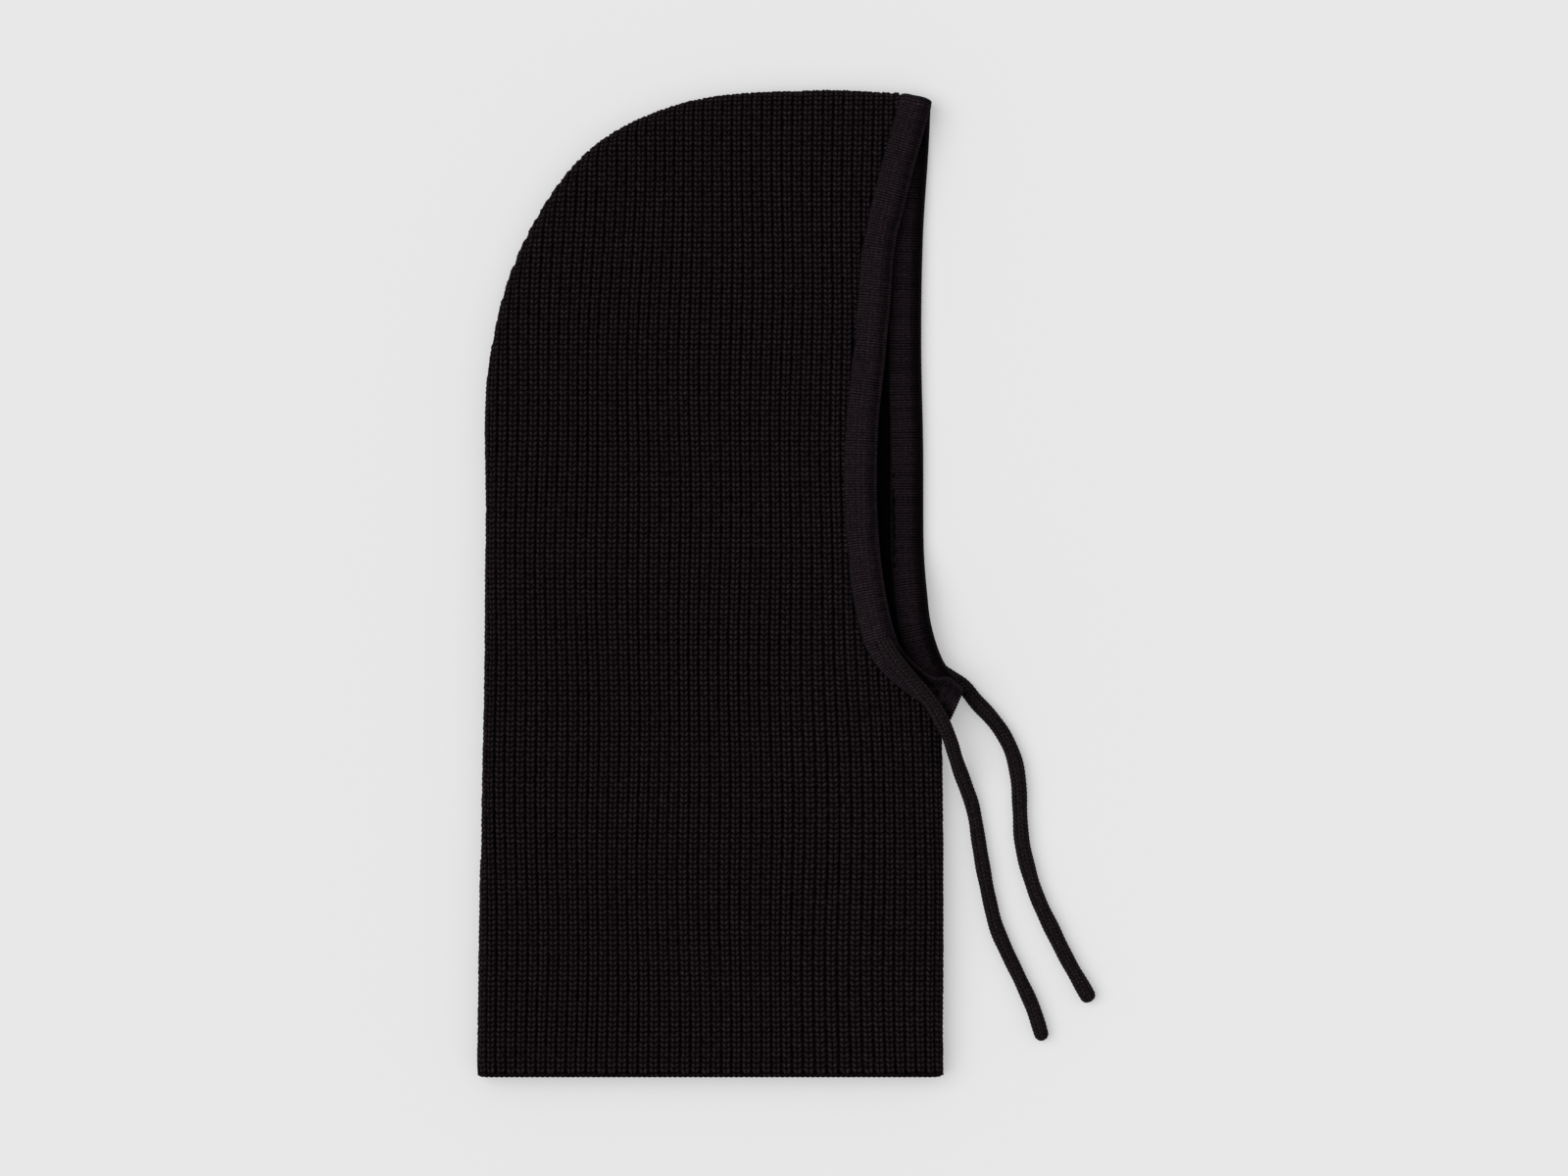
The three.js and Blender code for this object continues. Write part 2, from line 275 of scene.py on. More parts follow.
def report(piece):
    triangles = sum(len(face.vertices) - 2 for face in piece.data.polygons)
    edges = {}
    for face in piece.data.polygons:
        for key in face.edge_keys:
            edges[key] = edges.get(key, 0) + 1
    open_edges = sum(1 for uses in edges.values() if uses != 2)
    print(piece.name, triangles, "triangles,", open_edges, "open edges")


# %% [markdown]
# ## Yarn
# The yarn is a near-black wool blend, but never one flat black: fibres catch the light on
# each stitch, the grooves swallow it, and the dye takes unevenly. The shade in the grooves is
# painted into the colour. One shader group makes the fibre height and a tone that wanders,
# and every material gives it a scale of its own.

# %% Node helpers


def add_node(tree, kind, values, operation=None, group=None):
    """A shader node whose inputs are constants or are linked to other nodes' outputs."""
    node = tree.nodes.new(kind)
    if operation is not None:
        node.operation = operation
    if group is not None:
        node.node_tree = group
    for key, value in values.items():
        if isinstance(value, bpy.types.NodeSocket):
            tree.links.new(value, node.inputs[key])
        else:
            node.inputs[key].default_value = value
    return node


def calculate(tree, operation, *values):
    """The result of one sum on constants or other nodes' outputs."""
    return add_node(tree, "ShaderNodeMath", dict(enumerate(values)), operation).outputs["Value"]


def new_group(name, inputs, outputs):
    """An empty shader group, with its inner sockets; an input with no default is a vector."""
    group = bpy.data.node_groups.new(name, "ShaderNodeTree")
    for label, default in inputs.items():
        kind = "NodeSocketVector" if default is None else "NodeSocketFloat"
        socket = group.interface.new_socket(label, in_out="INPUT", socket_type=kind)
        if default is not None:
            socket.default_value = default
    for label in outputs:
        group.interface.new_socket(label, in_out="OUTPUT", socket_type="NodeSocketFloat")
    given = group.nodes.new("NodeGroupInput").outputs
    return group, given, group.nodes.new("NodeGroupOutput").inputs


# %% Fibre group
HAIR_SHARE = 0.6


def fibre_group():
    group, given, made = new_group(
        "fibres", {"Fibre Scale": 1400.0, "Patch Scale": 25.0, "Stretch": 3.0}, ("Height", "Tone"))
    place = group.nodes.new("ShaderNodeTexCoord").outputs["Object"]
    stretch = add_node(group, "ShaderNodeCombineXYZ", {"X": given["Stretch"], "Y": 1.0, "Z": 1.0})
    stretched = add_node(group, "ShaderNodeVectorMath",
                         {0: place, 1: stretch.outputs["Vector"]}, "MULTIPLY")
    hair = add_node(group, "ShaderNodeTexNoise",
                    {"Vector": stretched.outputs["Vector"], "Scale": given["Fibre Scale"],
                     "Detail": 5.0, "Roughness": 0.65}).outputs["Fac"]
    patch = add_node(group, "ShaderNodeTexNoise",
                     {"Vector": place, "Scale": given["Patch Scale"], "Detail": 3.0})
    dye = calculate(group, "MULTIPLY", patch.outputs["Fac"], 1 - HAIR_SHARE)
    group.links.new(hair, made["Height"])
    group.links.new(calculate(group, "MULTIPLY_ADD", hair, HAIR_SHARE, dye), made["Tone"])
    return group


FIBRES = fibre_group()

# %% [markdown]
# The yarn of a rib stitch stands up in two fat legs, one bead of yarn per leg and course, with
# dark hollows round each. The wall's mesh has that shape already, and this second group
# sharpens it from the stitch count in the UV map: 1 on top of a leg, 0 in the hollows. The
# materials raise the legs with it in the bump and paint shade into the hollows with it.

# %% Bead group
SLANT = 0.42


def bead_group():
    group, given, made = new_group(
        "beads", {"Stitches": None, "Slant": SLANT, "Columns": 0.7}, ("Bead",))

    def sum_of(operation, *values):
        return calculate(group, operation, *values)

    def wave(turns):
        swing = sum_of("COSINE", sum_of("MULTIPLY", turns, 2 * math.pi))
        return sum_of("MULTIPLY", sum_of("ADD", swing, 1.0), 0.5)

    split = add_node(group, "ShaderNodeSeparateXYZ", {"Vector": given["Stitches"]})
    across, course = split.outputs["X"], split.outputs["Y"]
    two_legs = wave(sum_of("SUBTRACT", sum_of("MULTIPLY", across, 2.0), 0.5))
    to_middle = sum_of("MULTIPLY", wave(sum_of("SUBTRACT", across, 0.5)), 0.8)
    legs = sum_of("MINIMUM", sum_of("MULTIPLY", two_legs, sum_of("ADD", to_middle, 0.6)), 1.0)
    aside = sum_of("ABSOLUTE", sum_of("SUBTRACT", sum_of("FRACT", across), 0.5))
    rise = sum_of("MULTIPLY", aside, given["Slant"])
    along = wave(sum_of("SUBTRACT", course, sum_of("MULTIPLY", rise, 2.0)))
    bead = sum_of("MULTIPLY", sum_of("POWER", legs, given["Columns"]), sum_of("POWER", along, 0.8))
    group.links.new(bead, made["Bead"])
    return group


BEADS = bead_group()

# %% Yarn materials
SOFT_SHINE = 0.012
FIBRE_RELIEF = 0.0004
STITCH_RELIEF = 1.8


def yarn_material(name, dark, light, sheen, bump, fibre_scale=1400.0, stretch=3.0, groove=None,
                  beads=0.0, slant=SLANT, columns=0.7, patch_scale=420.0):
    """A woollen material: dark to light over the fibres, with the groove colour painted as shade
    deep in the knit.
    """
    material = bpy.data.materials.new(name)
    material.use_nodes = True
    tree = material.node_tree
    shader = tree.nodes["Principled BSDF"]
    shader.inputs["Sheen Weight"].default_value = sheen
    shader.inputs["Sheen Roughness"].default_value = 0.45
    shader.inputs["Sheen Tint"].default_value = (0.92, 0.86, 0.9, 1)
    shader.inputs["Specular IOR Level"].default_value = SOFT_SHINE
    fibres = add_node(tree, "ShaderNodeGroup", {"Fibre Scale": fibre_scale, "Stretch": stretch,
                                                "Patch Scale": patch_scale}, group=FIBRES)
    ramp = add_node(tree, "ShaderNodeValToRGB", {"Fac": fibres.outputs["Tone"]})
    for end, position, tint in zip(ramp.color_ramp.elements, (0.36, 0.66), (dark, light)):
        end.position = position
        end.color = (*tint, 1)
    colour, height = ramp.outputs["Color"], fibres.outputs["Height"]
    if groove is not None:
        depth = tree.nodes.new("ShaderNodeAttribute")
        depth.attribute_name = "depth"
        count = tree.nodes.new("ShaderNodeUVMap")
        count.uv_map = "stitches"
        knit = add_node(tree, "ShaderNodeGroup", {"Stitches": count.outputs["UV"],
                                                  "Slant": slant, "Columns": columns}, group=BEADS)
        bead = knit.outputs["Bead"]
        # Painted shade: where the depth mask or the hollows between beads call for it, the colour
        # goes to the groove colour.
        fill = add_node(tree, "ShaderNodeMapRange",
                        {"Value": bead, "To Min": beads, "To Max": 0.0})
        mix = tree.nodes.new("ShaderNodeMix")
        mix.data_type = "RGBA"
        mix.inputs["B"].default_value = (*groove, 1)
        painted_shade = calculate(tree, "MAXIMUM", depth.outputs["Fac"], fill.outputs["Result"])
        tree.links.new(painted_shade, mix.inputs["Factor"])
        tree.links.new(colour, mix.inputs["A"])
        colour = mix.outputs["Result"]
        height = calculate(tree, "MULTIPLY_ADD", bead, STITCH_RELIEF, height)
    tree.links.new(colour, shader.inputs["Base Color"])
    rough = add_node(tree, "ShaderNodeMapRange",
                     {"Value": fibres.outputs["Height"], "To Min": 0.72, "To Max": 0.95})
    tree.links.new(rough.outputs["Result"], shader.inputs["Roughness"])
    relief = add_node(tree, "ShaderNodeBump",
                      {"Strength": bump, "Distance": FIBRE_RELIEF, "Height": height})
    tree.links.new(relief.outputs["Normal"], shader.inputs["Normal"])
    return material


# The groove colours are painted shade, laid in grooves, hollows and inner faces; beads is how dark
# the hollows between beads are painted.
RIB_WOOL = yarn_material("rib_wool", (0.0080, 0.0052, 0.0063), (0.0500, 0.0355, 0.0405),
                         0.012, 1.0, groove=(0.0009, 0.0004, 0.0005), beads=0.97)
BAND_WOOL = yarn_material("band_wool", (0.0064, 0.0039, 0.0054), (0.0515, 0.0350, 0.0450),
                          0.02, 1.0, 1900.0, 1.0, groove=(0.0012, 0.0007, 0.0010), beads=0.86,
                          slant=0.15, columns=0.16, patch_scale=700.0)
CORD_WOOL = yarn_material("cord_wool", (0.0075, 0.0052, 0.0064), (0.0480, 0.0360, 0.0430),
                          0.02, 1.0, 1700.0, 1.0, groove=(0.0012, 0.0008, 0.0010), beads=0.80,
                          slant=0.7, columns=0.5, patch_scale=600.0)
# The seam yarn is painted much darker than the wall yarn, as painted shade for the gaps and corners
# where the seams lie; the cast-off row uses it too.
SHADED_SEAM_YARN = yarn_material("shaded_seam_yarn", (0.0020, 0.0012, 0.0015), (0.0090, 0.0064, 0.0074),
                          0.01, 0.8)


def finish_piece(piece, material, slot, *nodes):
    piece.data.materials.append(material)
    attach(piece, "root")
    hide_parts(*nodes)
    report(piece)


# %% [markdown]
# ## The two ribbed walls
# Each wall is a chunky rib: a column of V-shaped stitches every 5.2 mm, with a deep groove
# between columns. The grooves cast shadows and scallop the edge, so the ribs are real
# geometry: five columns of points to a rib and two rows to a course, along the legs of each V.

# %% Rib pattern
RIB = 0.0052
COURSE = 0.0026
ROWS_PER_COURSE = 2
ACROSS_RIB = np.array([0.06, 0.27, 0.5, 0.73, 0.94])
ON_LEG = np.array([-2.4, 0.0, -1.25, 0.0, -2.4]) * 0.001
BETWEEN_LEGS = np.array([-2.5, -0.9, -1.7, -0.9, -2.5]) * 0.001
DEEPEST = 0.0025
STITCH_WANDER = 0.00026


def stitch_grid(low, high):
    """Rows of points over a rectangle of flat fabric: place, height and stitch count."""
    ribs = np.arange(math.floor(low[0] / RIB), math.ceil(high[0] / RIB) + 1)
    across = (ribs[:, None] + ACROSS_RIB).ravel()
    within = np.tile(ACROSS_RIB, len(ribs))
    count = ROWS_PER_COURSE * (math.ceil((high[1] - low[1]) / COURSE) + 2)
    course = np.arange(count) / ROWS_PER_COURSE - 1
    along = course[:, None] + np.abs(within - 0.5) * 2 * SLANT
    y = low[1] + along * COURSE
    x = np.broadcast_to(across * RIB, y.shape)
    leg = np.tile(ON_LEG, len(ribs))
    gap = np.tile(BETWEEN_LEGS, len(ribs))
    height = np.where(np.arange(count)[:, None] % ROWS_PER_COURSE == 0, leg, gap)
    chance = np.random.default_rng(7)
    per_stitch = chance.normal(0, STITCH_WANDER, (count // ROWS_PER_COURSE, len(ribs)))
    wander = np.repeat(np.repeat(per_stitch, ROWS_PER_COURSE, 0), len(ACROSS_RIB), 1)
    height = np.minimum(height + wander, 0.0002)
    x = x + chance.normal(0, STITCH_WANDER / 2, y.shape)
    y = y + chance.normal(0, STITCH_WANDER / 2, y.shape)
    counts = np.stack([np.broadcast_to(across, y.shape), along], axis=-1)
    return np.stack([x, y], axis=-1), height, counts


def rib_drift(place):
    """Where the ribs stray from straight: lean at the crown, follow the opening at the chin."""
    x, y = place[..., 0], place[..., 1]
    lean = 0.006 * smooth((y - 0.06) / 0.19) ** 1.4 * (1 - smooth((x + 0.12) / 0.2))
    chin = 0.0062 * smooth(-y / 0.1) * smooth((x - 0.03) / 0.05)
    sway = 0.0005 * np.sin(y / 0.021 + x / 0.04) + 0.0004 * np.sin(y / 0.047 - x / 0.017)
    return x + lean + chin + sway, y


# %% [markdown]
# The flat grid is cut to the wall's outline, and its rim is rolled down over the edge in a
# quarter turn, the way a thick knit turns over at a seam. Distances to the outline do both.

# %% Distances


def nearest_on(path, points):
    """For each point, the closest point of an open line."""
    start, step = path[:-1], np.diff(path, axis=0)
    squared = (step**2).sum(axis=1)
    closest = np.empty_like(points)
    for first in range(0, len(points), 8000):
        block = points[first:first + 8000, None]
        t = np.clip(((block - start) * step).sum(-1) / squared, 0, 1)
        candidates = start + t[..., None] * step
        best = ((block - candidates) ** 2).sum(-1).argmin(axis=1)
        closest[first:first + 8000] = candidates[np.arange(len(best)), best]
    return closest


def is_inside(outline, points):
    """Which points a closed outline holds, by counting the sides a level ray crosses."""
    inside = np.zeros(len(points), bool)
    for (ax, ay), (bx, by) in zip(outline, np.roll(outline, -1, axis=0)):
        if ay == by:
            continue
        spans = (points[:, 1] > min(ay, by)) & (points[:, 1] <= max(ay, by))
        cross = ax + (points[:, 1] - ay) * (bx - ax) / (by - ay)
        inside ^= spans & (points[:, 0] < cross)
    return inside


# %% Wall outline
ROLL = 0.0063
ROLL_REACH = (math.pi / 2 - 1) * ROLL
BAND_WIDTH = 0.017
BAND_OVER_WALL = 0.0020
CHIN_TRIM = 0.0026
HEM_ROW = 0.0008
OUTLINE_STEP = 0.0025


def at_chin(y):
    """0 above the chin and 1 where the band turns forward."""
    return smooth((-0.030 - y) / 0.02)


def wall_outline(band_stations, crown_first):
    """The flat cut of a wall, as its rolled back-and-crown, face, rolled neck and hem lines."""
    rim = spline(BACK_AND_CROWN, OUTLINE_STEP)
    rim = rim[rim[:, 1] > HEM_Y + HEM_ROW]
    rim = np.vstack([[rim[0, 0], HEM_Y + HEM_ROW], rim])
    rim = rim - right_of(headings(rim)) * ROLL_REACH
    band = spline(band_stations, OUTLINE_STEP)
    if not crown_first:
        band = band[::-1]
    reach = BAND_WIDTH / 2 - BAND_OVER_WALL - CHIN_TRIM * at_chin(band[:, 1:])
    face = band + right_of(headings(band)) * reach
    face = face[face[:, 0] < NECK_FRONT_X - 0.004]
    neck = np.array([(NECK_FRONT_X - 0.0005, -0.078), (NECK_FRONT_X, -0.12),
                     (NECK_FRONT_X, HEM_Y + HEM_ROW)])
    neck = even_steps(neck, OUTLINE_STEP)
    neck = neck - right_of(headings(neck)) * ROLL_REACH
    return rim, face, neck


# %% Wall
WALL = 0.0036
RIM_ROUNDING = 0.0003
FACE_DIP = 0.0026
FACE_DIP_REACH = 0.0045
HEM_DIP = 0.0007
HEM_DIP_REACH = 0.006
ABOVE_MIDDLE = 0.0002
CHIN_LIFT = 0.0068
CHIN_SHARE = 0.45


def lift_at(y):
    return CHIN_LIFT * smooth((0.026 - y) / 0.042)


def puff(x, y):
    """Slow swells of fabric that isn't pressed flat."""
    return 0.0005 * np.sin(x / 0.031 + 1.3) * np.sin(y / 0.044 + x / 0.09) \
        + 0.0004 * np.sin(y / 0.023 - x / 0.036)


def knitted_wall(name, band_stations, crown_first, upper):
    rim, face, neck = wall_outline(band_stations, crown_first)
    outline = np.vstack([rim, face, neck])
    closed = np.vstack([outline, outline[:1]])
    place, height, counts = stitch_grid(outline.min(axis=0), outline.max(axis=0))
    rows, columns = height.shape
    flat = np.stack(rib_drift(place), axis=-1).reshape(-1, 2)
    height, counts = height.ravel(), counts.reshape(-1, 2)

    kept = is_inside(outline, flat)
    quads = grid_faces(rows, columns, False)
    quads = quads[kept[quads].all(axis=1)]
    used, quads = np.unique(quads, return_inverse=True)
    quads = quads.reshape(-1, 4)
    flat, height, counts = flat[used], height[used], counts[used]

    rim_edges = boundary_edges(quads)
    loop = rim_loop(rim_edges)
    flat[loop] = laid_along(closed, flat[loop])
    rim_normal = rim_normals(flat, loop)

    rolled = [nearest_on(line, flat) for line in (rim, neck)]
    gaps = np.stack([np.linalg.norm(flat - near, axis=1) for near in rolled])
    which = gaps.argmin(axis=0)
    distance = gaps.min(axis=0)
    nearest = np.where(which[:, None] == 0, rolled[0], rolled[1])
    face_gap = np.linalg.norm(flat - nearest_on(face, flat), axis=1)

    inward = (flat - nearest) / np.maximum(distance, 1e-6)[:, None]
    on_rim = distance < 1e-5
    if on_rim.any():
        inward[on_rim] = rim_inward(rim, neck, flat[on_rim], which[on_rim])
    angle = np.clip(math.pi / 2 - distance / ROLL, 0, math.pi / 2)
    shift = np.where(angle > 0, ROLL_REACH + ROLL * (1 - np.sin(angle)) - distance, 0)
    plan = flat + inward * shift[:, None]
    level = np.cos(angle)
    z = MID_Z + ABOVE_MIDDLE + ROLL * level
    z += puff(flat[:, 0], flat[:, 1]) * level**2
    dip = FACE_DIP * (1 - 0.8 * at_chin(flat[:, 1]))
    z -= dip * (1 - smooth(face_gap / FACE_DIP_REACH)) * level
    z -= HEM_DIP * (1 - smooth((flat[:, 1] - HEM_Y) / HEM_DIP_REACH))
    points = np.column_stack([plan, z])
    outwards = np.column_stack([-inward * np.sin(angle)[:, None], np.cos(angle)])
    calm = 1 - 0.7 * np.sin(angle) ** 2
    points += outwards * (height * calm)[:, None]

    to_inside = inward * np.sin(angle)[:, None] * (WALL - RIM_ROUNDING)
    to_inside[loop] += rim_normal * (1 - np.sin(angle[loop]))[:, None] * 0.0007
    points, faces = close_wall(points, quads, rim_edges, loop, to_inside, angle, outline)
    z = points[:, 2]
    if not upper:
        points[:, 2] = np.maximum(FABRIC_TOP - z, 0.0)
    else:
        faces = [face[::-1] for face in faces]
    near_face = np.linalg.norm(points[:, :2] - nearest_on(face, points[:, :2]), axis=1)
    rise = CHIN_SHARE * lift_at(points[:, 1]) * np.exp(-((near_face / 0.016) ** 2))
    points[:, 2] += rise * smooth((points[:, 0] - 0.05) / 0.03)
    extra = len(points) - len(counts)
    counts = np.vstack([counts, points[-extra:, :2] / (RIB, COURSE)])
    # Painted shade: the colour darkens with depth between the ribs, and the rim's inner rings and
    # the inner face are painted fully in shade.
    depth = np.r_[np.clip(-height / DEEPEST, 0, 1) ** 1.5, np.ones(extra)]
    return new_piece(name, points, faces, counts, depth)


# %% [markdown]
# The outer face of the wall is closed into a solid piece of fabric: its open rim is taken
# round the edge, and an inner face is laid across it. A Delaunay fill makes that inner face
# from the rim and a coarser set of rib points, because hardly anyone looks inside a hood.

# %% Closing a wall
INNER_RIB = 0.0008
INNER_MARGIN = 0.0085


def boundary_edges(quads):
    """The edges that only one quad uses, each in that quad's own direction."""
    ahead = np.vstack([quads[:, [i, (i + 1) % 4]] for i in range(4)])
    key = np.sort(ahead, axis=1)
    _, first, uses = np.unique(key, axis=0, return_index=True, return_counts=True)
    return ahead[first[uses == 1]]


def rim_loop(edges):
    """The rim's points in the order that the edges join them."""
    follows = dict(edges.tolist())
    loop = [int(edges[0, 0])]
    while follows[loop[-1]] != loop[0]:
        loop.append(follows[loop[-1]])
    return np.array(loop)


def laid_along(closed, points):
    """Moves a loop of points onto a closed line, keeping their order along it."""
    start = distances_along(closed)
    step = np.diff(start)
    near = nearest_on(closed, points)
    segment = [np.argmin(np.linalg.norm(closed[:-1] - p, axis=1)
                         + np.linalg.norm(closed[1:] - p, axis=1) - step) for p in near]
    along = start[segment] + np.linalg.norm(near - closed[segment], axis=1)
    turn = (np.diff(along) + start[-1] / 2) % start[-1] - start[-1] / 2
    sign = 1 if turn.sum() > 0 else -1
    travelled = sign * np.r_[0, np.cumsum(turn)]
    forward = np.maximum.accumulate(travelled)
    backward = np.minimum.accumulate(travelled[::-1])[::-1]
    even = (forward + backward) / 2
    even[1:-1] = (even[:-2] + even[1:-1] + even[2:]) / 3
    even += np.arange(len(even)) * 2e-6
    place = (along[0] + sign * even) % start[-1]
    return at_distances(closed, start, place)


def rim_normals(flat, loop):
    """The inward direction along the flat rim, from each point's near neighbours."""
    place = flat[loop]
    ahead = np.roll(place, -3, axis=0) - np.roll(place, 3, axis=0)
    ahead /= np.maximum(np.linalg.norm(ahead, axis=1, keepdims=True), 1e-9)
    x, y = place.T
    turns_left = (x * np.roll(y, -1) - y * np.roll(x, -1)).sum() > 0
    return -right_of(ahead) if turns_left else right_of(ahead)


def rim_inward(rim, neck, points, which):
    """The inward direction for points that lie on a rolled line."""
    inward = np.empty_like(points)
    for index, line in enumerate((rim, neck)):
        mine = which == index
        if mine.any():
            closest = ((points[mine, None] - line) ** 2).sum(-1).argmin(axis=1)
            inward[mine] = right_of(headings(line))[closest]
    return inward


def close_wall(points, quads, edges, loop, to_inside, angle, outline):
    number = {int(old): i for i, old in enumerate(loop)}
    first, second = points[loop].copy(), points[loop].copy()
    first[:, :2] += to_inside[loop] * 0.85
    second[:, :2] += to_inside[loop]
    rolled = np.sin(angle[loop])
    first[:, 2] = FABRIC_TOP - WALL + RIM_ROUNDING - rolled * (FABRIC_TOP - WALL - MID_Z)
    second[:, 2] = FABRIC_TOP - WALL
    start = len(points)
    all_points = np.vstack([points, first, second])
    faces = [list(quad) for quad in quads[:, ::-1]]
    for a, b in edges:
        ring = [(int(a), int(b)), (start + number[int(a)], start + number[int(b)])]
        ring.append((ring[1][0] + len(loop), ring[1][1] + len(loop)))
        for (p, q), (r, s) in zip(ring, ring[1:]):
            faces.append([p, q, s, r])
    return fill_inside(all_points, faces, start + len(loop), edges, number, outline)


def fill_inside(points, faces, start, edges, number, outline):
    """Lays the inner face across the rim's last ring of points."""
    low, high = outline.min(axis=0), outline.max(axis=0)
    x = np.arange(low[0], high[0], RIB / 2)
    y = np.arange(low[1], high[1], 3 * COURSE)
    inner = np.stack(np.meshgrid(x, y, indexing="ij"), axis=-1)
    relief = np.where(np.arange(len(x)) % 2 == 0, 0.0, INNER_RIB)[:, None] + np.zeros(len(y))
    inner, relief = inner.reshape(-1, 2), relief.ravel()
    closed = np.vstack([outline, outline[:1]])
    clear = np.linalg.norm(inner - nearest_on(closed, inner), axis=1) > INNER_MARGIN
    keep = clear & is_inside(outline, inner)
    inner, relief = inner[keep], relief[keep]
    ring = points[start:, :2]
    flat = [tuple(p) for p in np.vstack([ring, inner])]
    sides = [(number[int(a)], number[int(b)]) for a, b in edges]
    laid, _, cells, origin, _, _ = delaunay_2d_cdt(flat, sides, [], 1, 1e-7)
    level = FABRIC_TOP - WALL
    index, added = [], []
    for i, sources in enumerate(origin):
        if sources and sources[0] < len(ring):
            index.append(start + sources[0])
            continue
        index.append(len(points) + len(added))
        depth = relief[sources[0] - len(ring)] if sources else 0.0
        added.append((laid[i][0], laid[i][1], level + depth))
    points = np.vstack([points, np.array(added)])
    faces += [[index[i] for i in cell] for cell in cells]
    return points, faces


def close_pinholes(piece):
    """Fills nearly all of the small gaps that the inner face leaves at the wall's corners."""
    bpy.ops.object.select_all(action="DESELECT")
    bpy.context.view_layer.objects.active = piece
    piece.select_set(True)
    bpy.ops.object.mode_set(mode="EDIT")
    bpy.ops.mesh.select_mode(type="EDGE")
    bpy.ops.mesh.select_all(action="DESELECT")
    bpy.ops.mesh.select_non_manifold()
    bpy.ops.mesh.fill_holes(sides=0)
    bpy.ops.mesh.select_mode(type="VERT")
    bpy.ops.object.mode_set(mode="OBJECT")
    piece.data.shade_smooth()


# %% Both walls
right_wall = knitted_wall("right_wall", RIGHT_BAND, False, True)
close_pinholes(right_wall)
finish_piece(right_wall, RIB_WOOL, "rib_knit", "right_side_panel")
left_wall = knitted_wall("left_wall", LEFT_BAND, True, False)
close_pinholes(left_wall)
finish_piece(left_wall, RIB_WOOL, "rib_knit", "left_side_panel")

# %% [markdown]
# ## Strips and cords
# The band, the cord and the chains of linking yarn are all a section carried along a line.
# One function does that: it takes the line, the way the section's width points at each step,
# and the section's own outline, and closes the two ends.

# %% Sweep


def sweep(name, centres, sides, ups, sections, stitches, depth, wall=None):
    """Skins a row of closed sections. sections holds (across, up) for each step and point.
    wall makes it a tube of fabric that thick, with open ends."""
    def placed(outlines):
        return (centres[:, None] + sides[:, None] * outlines[..., :1]
                + ups[:, None] * outlines[..., 1:]).reshape(-1, 3)

    rows, columns = sections.shape[:2]
    points = placed(sections)
    faces = [list(quad) for quad in grid_faces(rows, columns, True)]
    if wall is not None:
        size = np.hypot(sections[..., :1], sections[..., 1:])
        points = np.vstack([points, placed(sections * (1 - wall / size))])
        count = rows * columns
        faces += [[corner + count for corner in face[::-1]] for face in faces]
        for i in range(columns):
            after = (i + 1) % columns
            last = count - columns
            faces.append([i + count, after + count, after, i])
            faces.append([last + i, last + after, last + after + count, last + i + count])
        stitches = np.vstack([stitches.reshape(-1, 2)] * 2)
        # The inner face of the tube is painted fully in shade.
        return new_piece(name, points, faces, stitches, np.r_[depth.ravel(), np.ones(count)])
    points = np.vstack([points, centres[0], centres[-1]])
    for i in range(columns):
        after = (i + 1) % columns
        last = (rows - 1) * columns
        faces.append([rows * columns, after, i])
        faces.append([rows * columns + 1, last + i, last + after])
    stitches = np.vstack([stitches.reshape(-1, 2), stitches[0, 0], stitches[-1, 0]])
    depth = np.r_[depth.ravel(), depth[0, 0], depth[-1, 0]]
    return new_piece(name, points, faces, stitches, depth)


def rounded_ends(steps, spacing, radius):
    """A scale for each step that draws both ends of a strip in to a dome."""
    along = np.arange(steps) * spacing
    from_end = np.minimum(along, along[::-1])
    inside = np.clip(from_end / radius, 0, 1)
    return np.sqrt(np.clip(1 - (1 - inside) ** 2, 0, 1)) * 0.98 + 0.02


# %% [markdown]
# ## The face band
# The band is a fine knit folded double, so it is puffy: it has a full crest beside the seam
# and thins towards its folded edge. Its courses run straight across it, every 1.4 mm, as
# ridges that catch the light.

# %% Band route
BAND_HALF = 0.0033
BAND_LOW_Z = 0.0033
BAND_HIGH_Z = 0.0102
ROWS_PER_RIDGE = 4
RIDGE = 0.00138
BAND_AROUND = 26


def band_route():
    """The strip's centre line and the way its width points, over the fold at the crown."""
    near, far = spline(RIGHT_BAND, RIDGE), spline(LEFT_BAND, RIDGE)
    near_side, far_side = right_of(headings(near)), -right_of(headings(far))
    near = np.column_stack([near, BAND_HIGH_Z + lift_at(near[:, 1])])
    far = np.column_stack([far, BAND_LOW_Z + lift_at(far[:, 1])])
    middle = (near_side[-1] + far_side[0]) / 2
    middle /= np.linalg.norm(middle)
    outward = np.array([-middle[1], middle[0], 0])
    radius = (BAND_HIGH_Z - BAND_LOW_Z) / 2
    turn = np.radians(np.arange(15, 166, 15))[:, None]
    centre = (near[-1] + far[0]) / 2
    fold = centre + radius * (np.cos(turn) * (0, 0, 1) + np.sin(turn) * outward)
    share = turn / math.pi
    fold_side = near_side[-1] * (1 - share) + far_side[0] * share
    line = np.vstack([near, fold, far])
    side = np.vstack([near_side, fold_side, far_side])
    along = distances_along(line)
    steps = np.arange(0, along[-1], RIDGE / ROWS_PER_RIDGE)
    line, side = at_distances(line, along, steps), at_distances(in_space(side), along, steps)
    heading = headings(line)
    side -= heading * (side * heading).sum(axis=1, keepdims=True)
    side /= np.linalg.norm(side, axis=1, keepdims=True)
    return line, side, np.cross(side, heading), steps


# %% Band
RIDGE_DEPTH = 0.00042
BAND_FABRIC = 0.0011
BAND_WALES = 14
TAB_FLARE = 0.27
TAB_REACH = 0.010
TAB_BULGE = 0.42
LIP = 0.0036
SLIT = np.array((0.0844, -0.0300))
SLIT_DEPTH = 0.0019
CORD_CREASE = 0.0046
CREASE_DEPTH = 0.0013
BAND_END_ROUNDING = 0.0016


